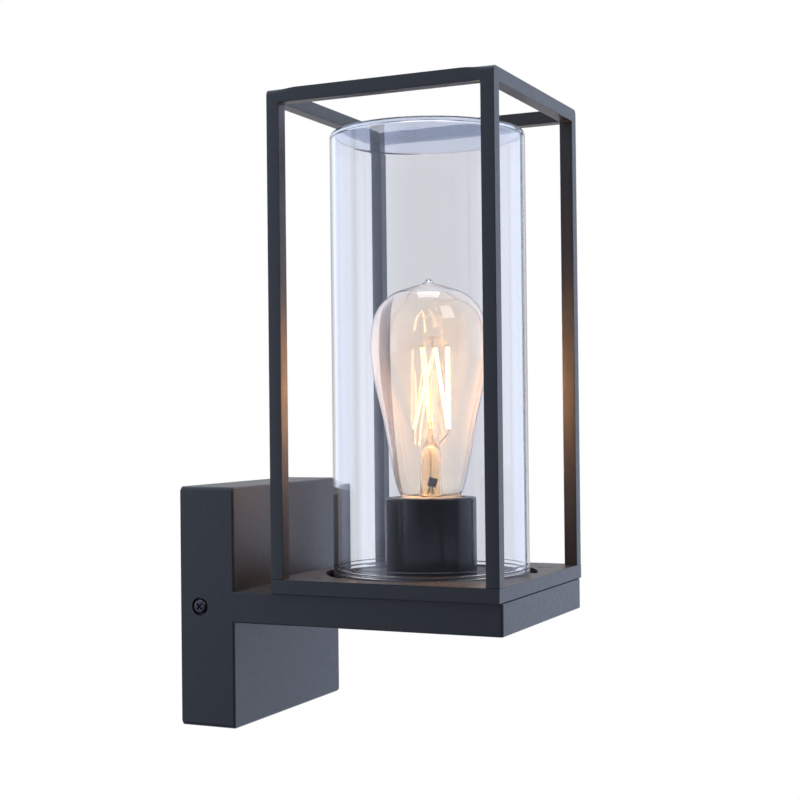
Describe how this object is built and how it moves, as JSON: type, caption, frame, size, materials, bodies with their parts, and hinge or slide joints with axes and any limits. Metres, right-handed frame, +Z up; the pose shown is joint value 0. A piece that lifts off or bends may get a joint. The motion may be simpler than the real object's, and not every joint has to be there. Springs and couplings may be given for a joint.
{
  "type": "outdoor wall lantern",
  "caption": "Wall-mounted outdoor lantern with an open square metal frame, a clear cylinder shade and a screw-in filament lamp.",
  "frame": {"origin": "middle of the wall plate, on the wall plane", "axes": "+Z up, -Y out from the wall, +X to the right seen from the front"},
  "size_m": [0.126, 0.1834, 0.3324],
  "materials": {
    "powder_coat": "fine textured matt powder coat, near black",
    "zinc_plate": "zinc plated sheet steel",
    "foam_seal": "closed-cell foam",
    "rubber": "soft matt rubber",
    "black_screw": "blackened steel, satin",
    "screw_steel": "zinc plated screw steel",
    "terminal_body": "moulded polyamide",
    "brass": "nickel-free brass",
    "black_plastic": "moulded black plastic",
    "clear_shade": "clear, polished",
    "gloss_black": "glossy black moulding",
    "ceramic": "glazed off-white ceramic",
    "wire_brown": "flexible insulation",
    "wire_blue": "flexible insulation",
    "wire_green": "flexible insulation",
    "amber_glass": "thin amber-tinted blown glass",
    "stem_glass": "clear lead glass",
    "filament": "glowing phosphor-coated light strip",
    "lead_wire": "nickel wire",
    "getter": "dark metal tag",
    "cap_metal": "drawn aluminium, satin",
    "black_glass": "black vitrite",
    "solder": "tinned contact",
    "circuit": "printed board with a capacitor"
  },
  "bodies": {
    "base": {"arm_tray": "powder_coat", "bracket_tabs": "zinc_plate", "cable_grommet": "rubber", "earth_screws": "screw_steel", "floor_plate": "powder_coat", "frame_screws": "screw_steel", "lampholder_contact": "brass", "lampholder_insert": "ceramic", "lampholder_screws": "screw_steel", "lampholder_shell": "brass", "lampholder_skirt": "gloss_black", "lead_earth": "wire_green", "lead_live": "wire_brown", "lead_neutral": "wire_blue", "plate_seal": "rubber", "post_front_left": "powder_coat", "post_front_right": "powder_coat", "post_rear_left": "powder_coat", "post_rear_right": "powder_coat", "rail_front": "powder_coat", "rail_left": "powder_coat", "rail_rear": "powder_coat", "rail_right": "powder_coat", "side_screws": "black_screw", "terminal_barrels": "brass", "terminal_block": "terminal_body", "terminal_fixings": "screw_steel", "terminal_screws": "brass", "wall_box": "powder_coat", "wall_bracket": "zinc_plate", "wall_gasket": "foam_seal"},
    "twist_ring": {"shade_ring": "black_plastic", "shade_gasket": "rubber"},
    "shade": {"shade": "clear_shade"},
    "bulb_tip": {"bulb_contact": "solder"},
    "bulb": {"bulb_glass": "amber_glass", "bulb_stem": "stem_glass", "bulb_filaments": "filament", "bulb_wires": "lead_wire", "bulb_getter": "getter", "bulb_cap": "cap_metal", "bulb_insulator": "black_glass", "bulb_driver": "circuit"}
  },
  "joints": [
    {"name": "shade_turn", "type": "hinge", "parent": "base", "child": "twist_ring", "pos_m": [0, -0.12, 0], "axis": [0, 0, 1], "range_deg": [0, 40]},
    {"name": "shade_lift", "type": "slide", "parent": "twist_ring", "child": "shade", "axis": [0, 0, 1], "range_m": [0, 0.27]},
    {"name": "bulb_lift", "type": "slide", "parent": "base", "child": "bulb_tip", "axis": [0, 0, 1], "range_m": [0, 0.01815]},
    {"name": "bulb_turn", "type": "hinge", "parent": "bulb_tip", "child": "bulb", "pos_m": [0, -0.12, 0], "axis": [0, 0, 1], "range_deg": [0, 1800]}
  ],
  "couplings": [
    {"joint": "bulb_lift", "follows": "bulb_turn", "m_per_rad": 0.00057757}
  ]
}
